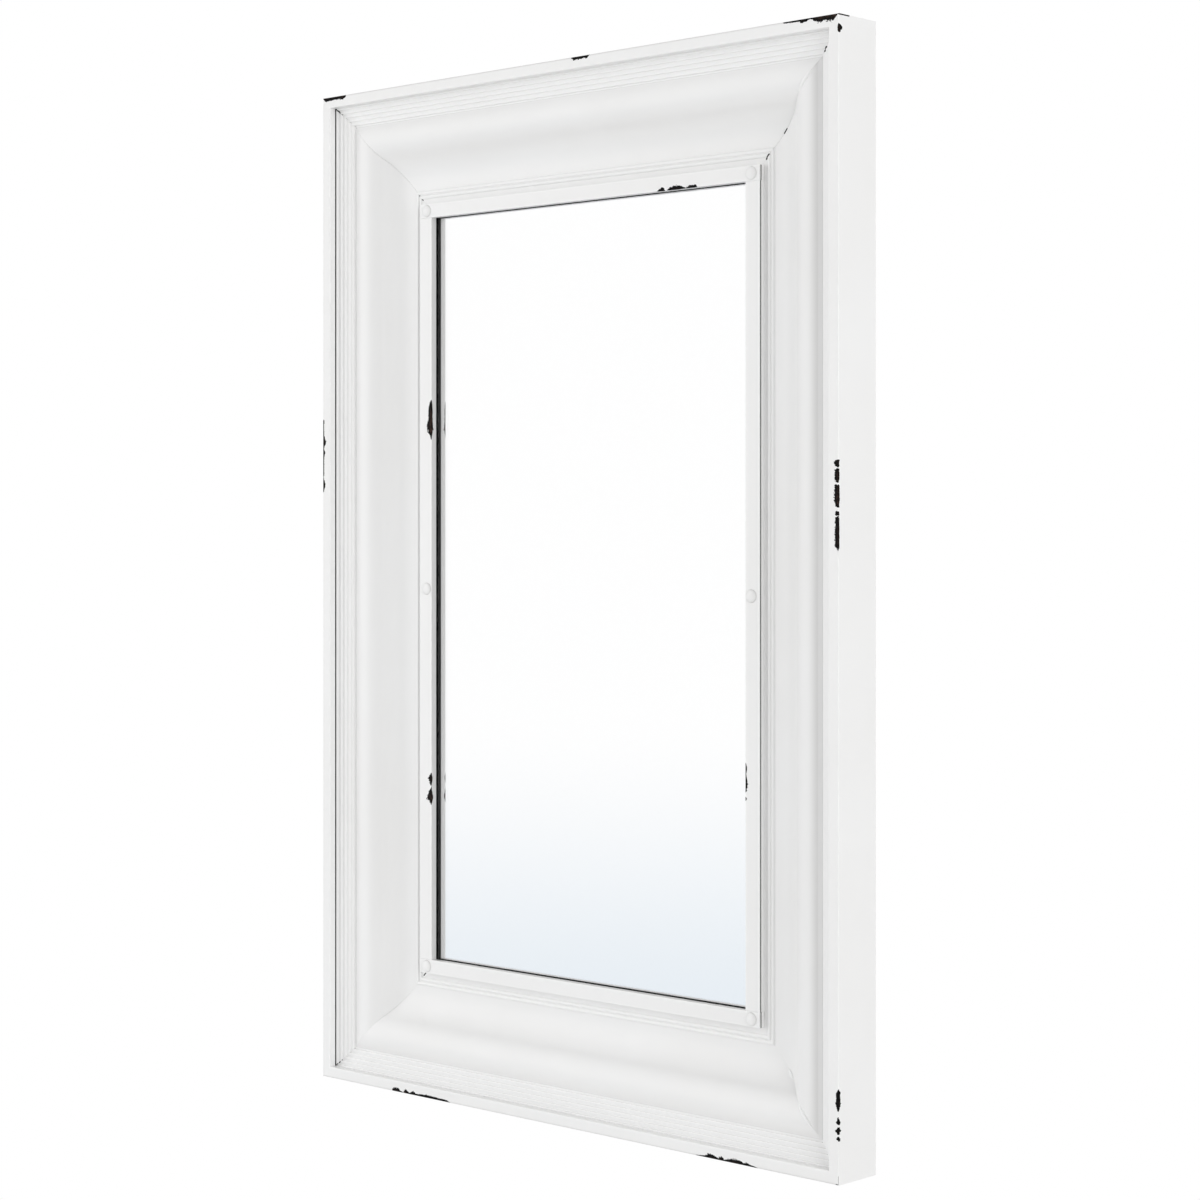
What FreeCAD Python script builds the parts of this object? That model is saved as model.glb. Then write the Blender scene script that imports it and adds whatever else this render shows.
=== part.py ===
import FreeCAD, Part
import math
import os

Vector = FreeCAD.Vector

# A rectangular wall mirror in a white-painted sheet metal frame, in millimetres.
# +Z is up and the glass faces -Y. The origin is the middle of the wall's plane.
# A point of a frame section has a margin, its distance in from the frame's outer edge,
# and a depth, its distance back from the frame's front plane.

# Overall sizes
width = 610.0
height = 914.0
frame_depth = 48.5
sight_margin = 118.3

# Outer rim, folded from sheet
rim_sheet = 1.2
rim_face = 10.0
rim_lip = 6.3
rim_return = 25.0
rim_bend = 1.6

# Pressed moulding: outer leg, steps, quirk, ogee, double bead and landing
moulding_sheet = 0.6
moulding_leg = 12.0
tuck_gap = 1.3
first_tread_show = 1.6
step_count = 5
step_run = 3.8
step_drop = 1.7
step_round = 0.7
quirk_drop = 2.2
quirk_run = 1.6
quirk_wall_run = 0.5
crown_lead = 12.0
crown_rise = 0.8
crown_radius = 26.0
hollow_exit_degrees = 6.0
bead_pitch = 4.0
bead_half = 1.8
bead_rise = 1.3
bead_flat = 0.4
bead_to_trim = 7.6
mitre_gap = 0.2

# Inner trim, a folded strip round the sight opening
trim_width = 12.7
trim_height = 6.3
trim_sheet = 1.0
trim_bend = 1.2
trim_joint = 0.1

# Rivets in the trim
rivet_head = 11.5
rivet_rise = 2.0
rivet_shank = 4.0
rivet_clearance = 0.15

# Mirror glass, its back coat and the backing board
glass_thickness = 4.0
glass_lap = 7.3
coat_thickness = 0.2
board_thickness = 3.0

# Rebate angles with fold-over tabs
rebate_sheet = 1.2
rebate_bend = 1.6
rebate_foot = 8.0
rebate_play = 0.5
tab_reach = 13.0
tab_fold_share = 0.9
tab_width = 22.0
tab_setback = 5.2
tabs_on_short_side = 2
tabs_on_long_side = 4

# Corner plates across the rim's back mitres
corner_leg = 78.0
corner_end = 12.0
corner_sheet = 1.5
corner_inset = 1.4

# Hangers: plate with a curled knuckle, wire ring and rivets
hanger_margin = 15.0
hanger_drop = 170.0
hanger_sheet = 1.2
hanger_width = 13.0
hanger_length = 52.0
hanger_corner = 4.0
knuckle_clearance = 0.1
knuckle_lift = 0.3
knuckle_turn_degrees = 255.0
joggle_start = 9.0
joggle_end = 4.0
ring_wire = 3.0
ring_inner_width = 16.0
ring_side = 12.0
ring_corner = 2.5
hanger_rivet_head = 7.0
hanger_rivet_rise = 1.8
hanger_rivet_shank = 4.0
hanger_rivet_tail = 6.4
hanger_rivet_tail_rise = 1.4
hanger_rivet_first = 31.0
hanger_rivet_pitch = 13.0

# Rubber wall bumpers
bumper_width = 16.0
bumper_height = 6.5
bumper_edge = 1.2
bumper_margin = 15.0
bumper_from_end = 42.0

# Room past a face for cuts that go right through, and how far towards the middle a mitre's cut runs
overrun = 1.0
wedge_share = 0.9

# Places that follow from the sizes above
rim_back_y = -bumper_height
front_y = rim_back_y - frame_depth
tread_depth = rim_lip + tuck_gap
first_arris = rim_face + first_tread_show
last_arris = first_arris + (step_count - 1) * step_run
last_depth = tread_depth + (step_count - 1) * step_drop
quirk_depth = last_depth + quirk_drop
crown_start = last_arris + quirk_run + quirk_wall_run
crown_margin = crown_start + crown_lead
crown_depth = last_depth - crown_rise
crown_start_depth = crown_depth + crown_radius - math.sqrt(crown_radius ** 2 - crown_lead ** 2)
glass_room = glass_thickness + coat_thickness + board_thickness
landing_depth = frame_depth - tab_setback - rebate_sheet - glass_room - moulding_sheet
trim_margin = sight_margin - trim_width
trim_depth = landing_depth - trim_height
inner_bead = trim_margin - bead_to_trim
outer_bead = inner_bead - bead_pitch
ogee_end = outer_bead - bead_half - bead_flat
landing_back = landing_depth + moulding_sheet
glass_margin = sight_margin - glass_lap
rebate_margin = glass_margin - rebate_play
board_back = landing_back + glass_room
board_depth = board_back - board_thickness
ring_radius = ring_inner_width / 2 + ring_wire / 2
knuckle_bore = ring_wire / 2 + knuckle_clearance
knuckle_stand = knuckle_lift + hanger_sheet + knuckle_bore
hanger_x = width / 2 - hanger_margin
hanger_z = height / 2 - hanger_drop
hanger_axis_y = rim_back_y + knuckle_stand

# Each side of the frame: its own length, its distance from the middle, and its turn about Y from the top side
sides = {
    "top": (width, height / 2, 0.0),
    "bottom": (width, height / 2, 180.0),
    "left": (height, width / 2, -90.0),
    "right": (height, width / 2, 90.0),
}
short_sides = ("top", "bottom")

middle = Vector(0, 0, 0)
along_x = Vector(1, 0, 0)
along_y = Vector(0, 1, 0)
along_z = Vector(0, 0, 1)


def save(name, shape):
    shape.exportStep("parts/" + name + ".step")
    print(name, len(shape.Solids), "solid", round(shape.Volume), "mm3", "valid" if shape.isValid() else "NOT VALID")


def line(start, end):
    return Part.LineSegment(start, end).toShape()


def rounded_path(points, radius):
    """Edges of a path through the points, with an arc of the radius at each corner between them."""
    edges = []
    start = points[0]
    for before, corner, after in zip(points, points[1:], points[2:]):
        back = (before - corner).normalize()
        ahead = (after - corner).normalize()
        half_angle = back.getAngle(ahead) / 2
        cut = radius / math.tan(half_angle)
        inward = (back + ahead).normalize()
        arc_middle = corner + inward * (radius / math.sin(half_angle) - radius)
        leave = corner + ahead * cut
        edges.append(line(start, corner + back * cut))
        edges.append(Part.Arc(corner + back * cut, arc_middle, leave).toShape())
        start = leave
    edges.append(line(start, points[-1]))
    return edges


def sheet_face(edges, thickness, hidden_side):
    """Section of a bent sheet whose shown surface follows the edges, with its thickness on their hidden side."""
    wire = Part.Wire(edges)
    faces = [wire.makeOffset2D(offset, join=2, fill=True, openResult=True) for offset in (thickness, -thickness)]
    return max(faces, key=lambda face: face.CenterOfMass.dot(hidden_side))


def section_point(reach, margin, depth):
    """Point of the top side's section, in the plane across the middle of that side."""
    return Vector(0, front_y + depth, reach - margin)


def lengthwise(face, length):
    """Solid of a section, as long as given and centred across the part."""
    return face.extrude(along_x * length).translate(along_x * (-length / 2))


def mitred(face, span, reach, gap):
    """Length of the top side with that section, cut at 45 degrees at both ends."""
    room = min(span / 2, reach) * wedge_share
    half_outer = span / 2 - gap / 2
    half_inner = half_outer - room
    outline = [(-half_outer, reach), (half_outer, reach), (half_inner, reach - room), (-half_inner, reach - room)]
    points = [Vector(x, front_y - overrun, z) for x, z in outline]
    wedge = Part.Face(Part.makePolygon(points + points[:1])).extrude(along_y * (frame_depth + overrun * 2))
    return lengthwise(face, span).common(wedge)


def turned(shape, turn):
    """The shape, turned about Y from the top side to its own side."""
    return shape.rotate(middle, along_y, turn)


def save_sides(name, make):
    for side, (span, reach, turn) in sides.items():
        save(name + "_" + side, turned(make(side, span, reach), turn))


def make_rim(side, span, reach):
    """Folded rim: lip, front face, outside wall and back return."""
    corners = [
        section_point(reach, rim_face, rim_lip),
        section_point(reach, rim_face, 0),
        section_point(reach, 0, 0),
        section_point(reach, 0, frame_depth),
        section_point(reach, rim_return, frame_depth),
    ]
    face = sheet_face(rounded_path(corners, rim_bend), rim_sheet, -along_z)
    return mitred(face, span, reach, 0)


def step_points(reach):
    """Corners of the moulding's leg, steps and quirk, to where the crown begins."""
    points = [
        section_point(reach, rim_sheet, tread_depth + moulding_leg),
        section_point(reach, rim_sheet, tread_depth),
    ]
    for step in range(step_count - 1):
        arris = first_arris + step * step_run
        depth = tread_depth + step * step_drop
        points.append(section_point(reach, arris, depth))
        points.append(section_point(reach, arris, depth + step_drop))
    points.append(section_point(reach, last_arris, last_depth))
    points.append(section_point(reach, last_arris, quirk_depth))
    points.append(section_point(reach, last_arris + quirk_run, quirk_depth))
    points.append(section_point(reach, crown_start, crown_start_depth))
    return points


def ogee_edges(reach, start):
    """Crown arc from the quirk, then the hollow arc that meets it smoothly and rises to the beads' flat."""
    crown = section_point(reach, crown_margin, crown_depth)
    crown_centre = crown + along_y * crown_radius
    end = section_point(reach, ogee_end, landing_depth)
    exit_slope = math.radians(hollow_exit_degrees)
    towards_hollow = Vector(0, -math.cos(exit_slope), math.sin(exit_slope))
    offset = crown_centre - end
    hollow_radius = (offset.dot(offset) - crown_radius ** 2) / ((crown_radius + offset.dot(towards_hollow)) * 2)
    hollow_centre = end + towards_hollow * hollow_radius
    turn_point = crown_centre + (hollow_centre - crown_centre).normalize() * crown_radius
    hollow_out = ((turn_point - hollow_centre) + (end - hollow_centre)).normalize()
    return [
        Part.Arc(start, crown, turn_point).toShape(),
        Part.Arc(turn_point, hollow_centre + hollow_out * hollow_radius, end).toShape(),
    ]


def bead_edges(reach):
    """Two half-round beads with flats between them, then the landing up to the sight opening."""
    edges = []
    start = section_point(reach, ogee_end, landing_depth)
    for bead in (outer_bead, inner_bead):
        foot = section_point(reach, bead - bead_half, landing_depth)
        top = section_point(reach, bead, landing_depth - bead_rise)
        far_foot = section_point(reach, bead + bead_half, landing_depth)
        edges.append(line(start, foot))
        edges.append(Part.Arc(foot, top, far_foot).toShape())
        start = far_foot
    edges.append(line(start, section_point(reach, sight_margin, landing_depth)))
    return edges


def landing_rivet_holes(side, start_depth, length):
    """Cutters for the rivet holes of one side, across the depth given, seen as if that side were the top."""
    holes = []
    for x, z in rivet_places():
        hole = Part.makeCylinder(
            rivet_shank / 2 + rivet_clearance, length, Vector(x, front_y + start_depth, z), along_y)
        holes.append(turned(hole, -sides[side][2]))
    return Part.Compound(holes)


def make_moulding(side, span, reach):
    """Pressed moulding with its outer leg against the rim's wall."""
    points = step_points(reach)
    edges = rounded_path(points, step_round) + ogee_edges(reach, points[-1]) + bead_edges(reach)
    solid = mitred(sheet_face(edges, moulding_sheet, along_y), span, reach, mitre_gap)
    holes = landing_rivet_holes(side, landing_depth - overrun, moulding_sheet + overrun * 2)
    return solid.cut(holes)


def trim_face(reach, inset, radius):
    """Section of the trim strip, or of the hollow in it where an inset is given, open towards the back."""
    corners = [
        section_point(reach, trim_margin + inset, landing_depth),
        section_point(reach, trim_margin + inset, trim_depth + inset),
        section_point(reach, sight_margin - inset, trim_depth + inset),
        section_point(reach, sight_margin - inset, landing_depth),
    ]
    edges = rounded_path(corners, radius)
    edges.append(line(corners[-1], corners[0]))
    return Part.Face(Part.Wire(edges))


def make_trim(side, span, reach):
    """Folded trim strip. The top and bottom strips run the full width, and the others stand between them."""
    length = span - trim_margin * 2
    hollow_length = length - trim_sheet * 2
    if side not in short_sides:
        length = span - (sight_margin + trim_joint) * 2
        hollow_length = length + overrun * 2
    strip = lengthwise(trim_face(reach, 0, trim_bend), length)
    hollow = lengthwise(trim_face(reach, trim_sheet, trim_bend - trim_sheet), hollow_length)
    holes = landing_rivet_holes(side, trim_depth - overrun, trim_height + overrun * 2)
    return strip.cut(hollow).cut(holes)


def rivet_places():
    """Middles of the trim's rivets: the four corners, and halfway up the two long sides."""
    across = width / 2 - trim_margin - trim_width / 2
    up = height / 2 - trim_margin - trim_width / 2
    return [(x, z) for x in (-across, across) for z in (-up, 0, up)]


def dome(head, rise, shank, length):
    """Rivet with a domed head, set at the origin: the head stands towards -Y and the shank runs towards +Y."""
    radius = (head ** 2 / 4 + rise ** 2) / (rise * 2)
    edge = Vector(head / 2, 0, 0)
    top = Vector(0, -rise, 0)
    angle = math.atan2(head / 2, radius - rise) / 2
    between = Vector(radius * math.sin(angle), radius - rise - radius * math.cos(angle), 0)
    edges = [
        Part.Arc(top, between, edge).toShape(),
        line(edge, Vector(shank / 2, 0, 0)),
        line(Vector(shank / 2, 0, 0), Vector(shank / 2, length, 0)),
        line(Vector(shank / 2, length, 0), Vector(0, length, 0)),
        line(Vector(0, length, 0), top),
    ]
    return Part.Face(Part.Wire(edges)).revolve(middle, along_y, 360)


def make_trim_rivets():
    """Six rivets through the trim, with their ends set flush in the landing's back."""
    rivet = dome(rivet_head, rivet_rise, rivet_shank, trim_height + moulding_sheet)
    return Part.Compound([rivet.translated(Vector(x, front_y + trim_depth, z)) for x, z in rivet_places()])


def plate(margin, depth, thickness):
    """Rectangular plate inside the frame, at that margin from its outer edges."""
    corner = Vector(-width / 2 + margin, front_y + depth, -height / 2 + margin)
    return Part.makeBox(width - margin * 2, thickness, height - margin * 2, corner)


def make_rebate(side, span, reach):
    """Angle behind the landing, whose leg stands round the glass and the board and folds over in tabs."""
    outer = rebate_margin - rebate_sheet - rebate_foot
    corners = [
        section_point(reach, outer, landing_back),
        section_point(reach, rebate_margin, landing_back),
        section_point(reach, rebate_margin, board_back),
    ]
    angle = mitred(sheet_face(rounded_path(corners, rebate_bend), rebate_sheet, along_y), span, reach, mitre_gap)
    count = tabs_on_short_side if side in short_sides else tabs_on_long_side
    inside = span - rebate_margin * 2
    tab_low = reach - rebate_margin - tab_reach
    tabs = []
    for tab in range(count):
        x = inside * (2 * tab + 1 - count) / (2 * count)
        corner = Vector(x - tab_width / 2, front_y + board_back, tab_low)
        tab_box = Part.makeBox(tab_width, rebate_sheet, tab_reach + rebate_sheet, corner)
        fold = max(tab_box.Edges, key=lambda edge: edge.CenterOfMass.y + edge.CenterOfMass.z)
        tabs.append(tab_box.makeFillet(rebate_sheet * tab_fold_share, [fold]))
    return angle.fuse(tabs).removeSplitter()


def make_corner_plates():
    """Plates across the four back corners, against the inside of the rim's returns."""
    start = rim_sheet + corner_inset
    outline = [
        (start, start), (corner_leg, start), (corner_leg, start + corner_end),
        (start + corner_end, corner_leg), (start, corner_leg),
    ]
    plates = []
    back = front_y + frame_depth - rim_sheet
    for x_sign in (-1, 1):
        for z_sign in (-1, 1):
            points = [Vector(x_sign * (width / 2 - m), back, z_sign * (height / 2 - n)) for m, n in outline]
            face = Part.Face(Part.makePolygon(points + points[:1]))
            plates.append(face.extrude(along_y * -corner_sheet))
    return Part.Compound(plates)


def make_hanger_plate():
    """Plate of the hanger with its knuckle about the X axis at the origin, its back face towards -Y."""
    middle_radius = knuckle_bore + hanger_sheet / 2
    flat_y = hanger_sheet / 2 - knuckle_stand
    turn = math.radians(knuckle_turn_degrees)
    knuckle = [Vector(0, -middle_radius * math.cos(turn * share), middle_radius * math.sin(turn * share))
               for share in (0, 0.5, 1)]
    bends = [
        Vector(0, flat_y, -hanger_length), Vector(0, flat_y, -joggle_start),
        Vector(0, -middle_radius, -joggle_end), knuckle[0],
    ]
    path = [line(start, end) for start, end in zip(bends, bends[1:])]
    path.append(Part.Arc(*knuckle).toShape())
    wire = Part.Wire(path)
    halves = [wire.makeOffset2D(offset, join=2, fill=True, openResult=True)
              for offset in (hanger_sheet / 2, -hanger_sheet / 2)]
    solid = lengthwise(halves[0], hanger_width).fuse(lengthwise(halves[1], hanger_width)).removeSplitter()
    ends = [edge for edge in solid.Edges
            if abs(edge.BoundBox.ZMax + hanger_length) < overrun and edge.BoundBox.YLength > edge.BoundBox.XLength]
    solid = solid.makeFillet(hanger_corner, ends)
    for z in hanger_rivet_heights():
        solid = solid.cut(Part.makeCylinder(
            hanger_rivet_shank / 2 + rivet_clearance, knuckle_stand + overrun * 2,
            Vector(0, -knuckle_stand - overrun, z), along_y))
    return solid


def hanger_rivet_heights():
    """Heights of a hanger's two rivets from its ring's axis."""
    return [-hanger_rivet_first, -hanger_rivet_first - hanger_rivet_pitch]


def make_hanger_ring():
    """D-shaped ring of round wire, hanging from its straight bar, which lies on the X axis at the origin."""
    bow_z = -ring_side
    bar = ring_radius - ring_corner
    turn = ring_corner * math.sqrt(0.5)
    points = [Vector(-bar, 0, 0), Vector(bar, 0, 0), Vector(ring_radius, 0, -ring_corner),
              Vector(ring_radius, 0, bow_z), Vector(-ring_radius, 0, bow_z), Vector(-ring_radius, 0, -ring_corner)]
    right_bend = Vector(bar + turn, 0, turn - ring_corner)
    left_bend = Vector(-bar - turn, 0, turn - ring_corner)
    path = [
        line(points[0], points[1]),
        Part.Arc(points[1], right_bend, points[2]).toShape(),
        line(points[2], points[3]),
        Part.Arc(points[3], Vector(0, 0, bow_z - ring_radius), points[4]).toShape(),
        line(points[4], points[5]),
        Part.Arc(points[5], left_bend, points[0]).toShape(),
    ]
    section = Part.Wire(Part.makeCircle(ring_wire / 2, points[0], along_x))
    return Part.Wire(path).makePipeShell([section], True, False)


def turned_about_z(shape):
    """The shape with its front and back exchanged."""
    return shape.rotate(middle, along_z, 180)


def make_hanger_rivets():
    """Rivets of both hangers, headed over the plates and clenched inside the rim's return."""
    length = hanger_sheet + rim_sheet
    rivet = dome(hanger_rivet_head, hanger_rivet_rise, hanger_rivet_shank, length)
    tail = Part.makeCylinder(hanger_rivet_tail / 2, hanger_rivet_tail_rise, along_y * length, along_y)
    rivet = turned_about_z(rivet.fuse(tail).removeSplitter())
    rivets = []
    for x in (-hanger_x, hanger_x):
        for z in hanger_rivet_heights():
            rivets.append(rivet.translated(Vector(x, rim_back_y + hanger_sheet, hanger_z + z)))
    return Part.Compound(rivets)


def make_wall_bumpers():
    """Four rubber bumpers on the rim's returns, near the corners. Their backs meet the wall."""
    radius = bumper_width / 2
    points = [Vector(0, -bumper_height, 0), Vector(radius, -bumper_height, 0), Vector(radius, -bumper_edge, 0),
              Vector(radius - bumper_edge, 0, 0), Vector(0, 0, 0)]
    bumper = Part.Face(Part.makePolygon(points + points[:1])).revolve(middle, along_y, 360)
    across = width / 2 - bumper_margin
    up = height / 2 - bumper_from_end
    return Part.Compound([bumper.translated(Vector(x, 0, z)) for x in (-across, across) for z in (-up, up)])


def drill_for_hanger(shape):
    """The rim's side with the holes of its hanger's rivets."""
    for x in (-hanger_x, hanger_x):
        for z in hanger_rivet_heights():
            start = Vector(x, rim_back_y - rim_sheet - overrun, hanger_z + z)
            shape = shape.cut(Part.makeCylinder(
                hanger_rivet_shank / 2 + rivet_clearance, rim_sheet + overrun * 2, start, along_y))
    return shape


os.makedirs("parts", exist_ok=True)

for side_name, (side_span, side_reach, side_turn) in sides.items():
    save("rim_" + side_name, drill_for_hanger(turned(make_rim(side_name, side_span, side_reach), side_turn)))
save_sides("moulding", make_moulding)
save_sides("trim", make_trim)
save("trim_rivets", make_trim_rivets())
save("mirror_glass", plate(glass_margin, landing_back, glass_thickness))
save("backing_board", plate(glass_margin, board_depth, board_thickness))
save_sides("rebate", make_rebate)
save("corner_plates", make_corner_plates())
for hand, hanger_side_x in (("left", -hanger_x), ("right", hanger_x)):
    hanger_place = Vector(hanger_side_x, hanger_axis_y, hanger_z)
    save("hanger_plate_" + hand, make_hanger_plate().translate(hanger_place))
    save("hanger_ring_" + hand, make_hanger_ring().translate(hanger_place))
save("hanger_rivets", make_hanger_rivets())
save("wall_bumpers", make_wall_bumpers())
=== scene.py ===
import math

import bpy
import numpy as np
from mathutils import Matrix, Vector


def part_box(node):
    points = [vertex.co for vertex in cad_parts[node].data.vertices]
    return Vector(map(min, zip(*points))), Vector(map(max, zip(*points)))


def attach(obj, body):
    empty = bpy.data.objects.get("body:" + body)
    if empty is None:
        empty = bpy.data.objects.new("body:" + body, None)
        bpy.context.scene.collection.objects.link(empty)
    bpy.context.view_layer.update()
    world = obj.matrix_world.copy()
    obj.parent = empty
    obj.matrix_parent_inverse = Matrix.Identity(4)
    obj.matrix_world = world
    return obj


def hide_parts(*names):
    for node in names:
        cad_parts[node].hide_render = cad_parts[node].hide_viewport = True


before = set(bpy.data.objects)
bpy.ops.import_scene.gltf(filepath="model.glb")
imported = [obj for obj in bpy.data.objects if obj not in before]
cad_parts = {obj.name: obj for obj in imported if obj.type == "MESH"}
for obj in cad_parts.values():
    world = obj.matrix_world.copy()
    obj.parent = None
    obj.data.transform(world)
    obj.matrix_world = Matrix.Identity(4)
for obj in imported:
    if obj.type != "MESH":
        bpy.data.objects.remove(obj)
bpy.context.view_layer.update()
print("frame loaded,", len(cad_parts), "nodes")

# A wall mirror: +Z is up and the glass faces -Y. Section sizes are in millimetres, the meshes in metres.
# A section point is (margin, depth): in from the frame's outer edge, and back from its front plane.
mm = 0.001
rimLow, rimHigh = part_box("rim_top")
halfWidth, halfHeight = rimHigh.x / mm, rimHigh.z / mm
frontY = rimLow.y / mm
frameDepth = (rimHigh.y - rimLow.y) / mm
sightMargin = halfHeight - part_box("trim_top")[0].z / mm
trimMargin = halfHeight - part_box("trim_top")[1].z / mm
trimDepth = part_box("trim_top")[0].y / mm - frontY
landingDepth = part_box("trim_top")[1].y / mm - frontY
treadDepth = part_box("moulding_top")[0].y / mm - frontY

# Each side: the way out from the middle, the way along it, half its length, and its distance from the middle
sides = {
    "top": dict(out=(0, 1), along=(1, 0), half=halfWidth, reach=halfHeight),
    "bottom": dict(out=(0, -1), along=(-1, 0), half=halfWidth, reach=halfHeight),
    "left": dict(out=(-1, 0), along=(0, 1), half=halfHeight, reach=halfWidth),
    "right": dict(out=(1, 0), along=(0, -1), half=halfHeight, reach=halfWidth),
}


# Sections

sectionGrid = dict(
    spacing=0.08, turnPerPoint=math.radians(7), longestRun=2.0, softWidths=4,
    # these smooth and scale the painted highlight on the bends
    highlightSoft=0.5, highlightWidths=3, highlightGain=1.1, insideShare=-0.15)


def arcPoints(centre, radius, startDegrees, endDegrees, count=40):
    # centre + radius * (cosine, sine) of an angle that runs evenly from start to end
    angle = np.radians(np.linspace(startDegrees, endDegrees, count))
    return np.column_stack([centre[0] + radius * np.cos(angle), centre[1] + radius * np.sin(angle)])


def resampled(line, measure, where):
    # the line's points at given values of a measure that grows along it
    return np.column_stack([np.interp(where, measure, values) for values in line.T])


def evenPath(points):
    # points a fixed distance apart along a broken line
    runs = np.hypot(*np.diff(points, axis=0).T)
    along = np.concatenate([[0], np.cumsum(runs)])
    return resampled(points, along, np.linspace(0, along[-1], int(along[-1] / sectionGrid["spacing"])))


def bellWeights(soft, widths):
    # a bell curve, cut off on both sides at so many times its softness, that adds up to 1
    reach = int(widths * soft / sectionGrid["spacing"])
    bell = np.exp(-0.5 * (np.arange(-reach, reach + 1) * sectionGrid["spacing"] / soft) ** 2)
    return bell / bell.sum()


def softened(path, soft):
    # each point is the bell-weighted mean of its neighbours, with the ends carried on straight
    bell = bellWeights(soft, sectionGrid["softWidths"])
    reach = len(bell) // 2
    head = path[0] + (path[0] - path[1]) * np.arange(reach, 0, -1)[:, None]
    tail = path[-1] + (path[-1] - path[-2]) * np.arange(1, reach + 1)[:, None]
    whole = np.vstack([head, path, tail])
    return np.column_stack([np.convolve(values, bell, "valid") for values in whole.T])


def sheetSection(corners, sheet, softs, hiddenHand):
    # shown line: the corners joined and softened, by the first amount over the first two fifths and by the
    # second over the last two; hidden line: the same, softened more and set back by the sheet
    path = evenPath(np.array(corners, float))
    share = np.clip(np.linspace(-2, 3, len(path)), 0, 1)[:, None]
    shown = softened(path, softs[0]) * (1 - share) + softened(path, softs[1]) * share
    guide = softened(path, max(*softs, sheet))
    tangent = np.gradient(guide, axis=0)
    tangent /= np.linalg.norm(tangent, axis=1)[:, None]
    hidden = guide + hiddenHand * sheet * np.column_stack([-tangent[:, 1], tangent[:, 0]])
    return thinned(shown, hidden, hiddenHand)


def bendHighlight(heading, hiddenHand):
    # painted highlight from how sharply the shown line bends, smoothed: towards 1 on an arris,
    # a little above 0 in an inside corner
    bend = np.gradient(heading, axis=0) / sectionGrid["spacing"] * hiddenHand
    bell = bellWeights(sectionGrid["highlightSoft"], sectionGrid["highlightWidths"])
    smooth = np.convolve(bend, bell, "same")
    lightTone = np.clip(sectionGrid["highlightGain"] * smooth, -1, 1)
    return np.where(lightTone > 0, lightTone, sectionGrid["insideShare"] * lightTone)


def thinned(shown, hidden, hiddenHand):
    # fewer points, each with its painted highlight from the bend: one for each small turn of the
    # shown line and one for each long straight run
    runs = np.diff(shown, axis=0)
    heading = np.unwrap(np.arctan2(runs[:, 1], runs[:, 0]))
    turn = np.abs(np.diff(heading, prepend=heading[0])) / sectionGrid["turnPerPoint"]
    measure = np.concatenate([[0], np.cumsum(turn + np.hypot(*runs.T) / sectionGrid["longestRun"])])
    levels = np.linspace(0, measure[-1], math.ceil(measure[-1]) + 1)
    lightTone = bendHighlight(np.append(heading, heading[-1]), hiddenHand)
    return (resampled(shown, measure, levels), resampled(hidden, measure, levels),
            np.interp(levels, measure, lightTone))


# Meshes

meshShading = dict(sharpDegrees=40)


def outwardQuads(points, quads):
    # the quads, turned over if the volume that they enclose comes out negative
    a, b, c, d = (points[quads[:, k]] for k in range(4))
    volume = (np.einsum("ij,ij->i", a, np.cross(b, c)) + np.einsum("ij,ij->i", a, np.cross(c, d))).sum()
    return quads if volume > 0 else quads[:, ::-1]


def makePiece(name, points, quads, material, nodes):
    mesh = bpy.data.meshes.new(name)
    mesh.from_pydata(points.tolist(), [], outwardQuads(points, quads).tolist())
    mesh.validate()
    mesh.shade_smooth()
    mesh.set_sharp_from_angle(angle=math.radians(meshShading["sharpDegrees"]))
    mesh.materials.append(material)
    piece = bpy.data.objects.new(name, mesh)
    bpy.context.scene.collection.objects.link(piece)
    weighted = piece.modifiers.new("evenShading", "WEIGHTED_NORMAL")
    weighted.keep_sharp = True
    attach(piece, "frame")
    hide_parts(*nodes)
    return piece


def gridQuads(rows, columns):
    # quads between neighbouring rows of a grid, whose columns close on themselves
    row, column = np.meshgrid(np.arange(rows - 1), np.arange(columns), indexing="ij")
    start, ahead = row * columns + column, row * columns + (column + 1) % columns
    return np.stack([start, ahead, ahead + columns, start + columns], axis=-1).reshape(-1, 4)


def tubeQuads(rows, around):
    # a closed grid of rings, with strips of quads across the first and the last ring
    fan = np.arange(around // 2 - 1)
    lid = np.column_stack([fan, fan + 1, around - 2 - fan, around - 1 - fan])
    return np.vstack([gridQuads(rows, around), lid[:, ::-1], lid + (rows - 1) * around])


def repeatedQuads(quads, pointCount, times):
    # the same quads for each of several equal sets of points that follow one another
    return (quads + pointCount * np.arange(times)[:, None, None]).reshape(-1, 4)


def addValues(piece, name, values):
    attribute = piece.data.attributes.new(name, "FLOAT", "POINT")
    attribute.data.foreach_set("value", np.asarray(values, np.float32).ravel())


def placed(side, margin, depth, along):
    # point of a side: out from the middle by reach less margin, along the side, back from the front plane
    out, way = np.array(sides[side]["out"], float), np.array(sides[side]["along"], float)
    flat = (sides[side]["reach"] - margin)[..., None] * out + along[..., None] * way
    return np.stack([flat[..., 0], frontY + depth, flat[..., 1]], axis=-1) * mm


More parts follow.
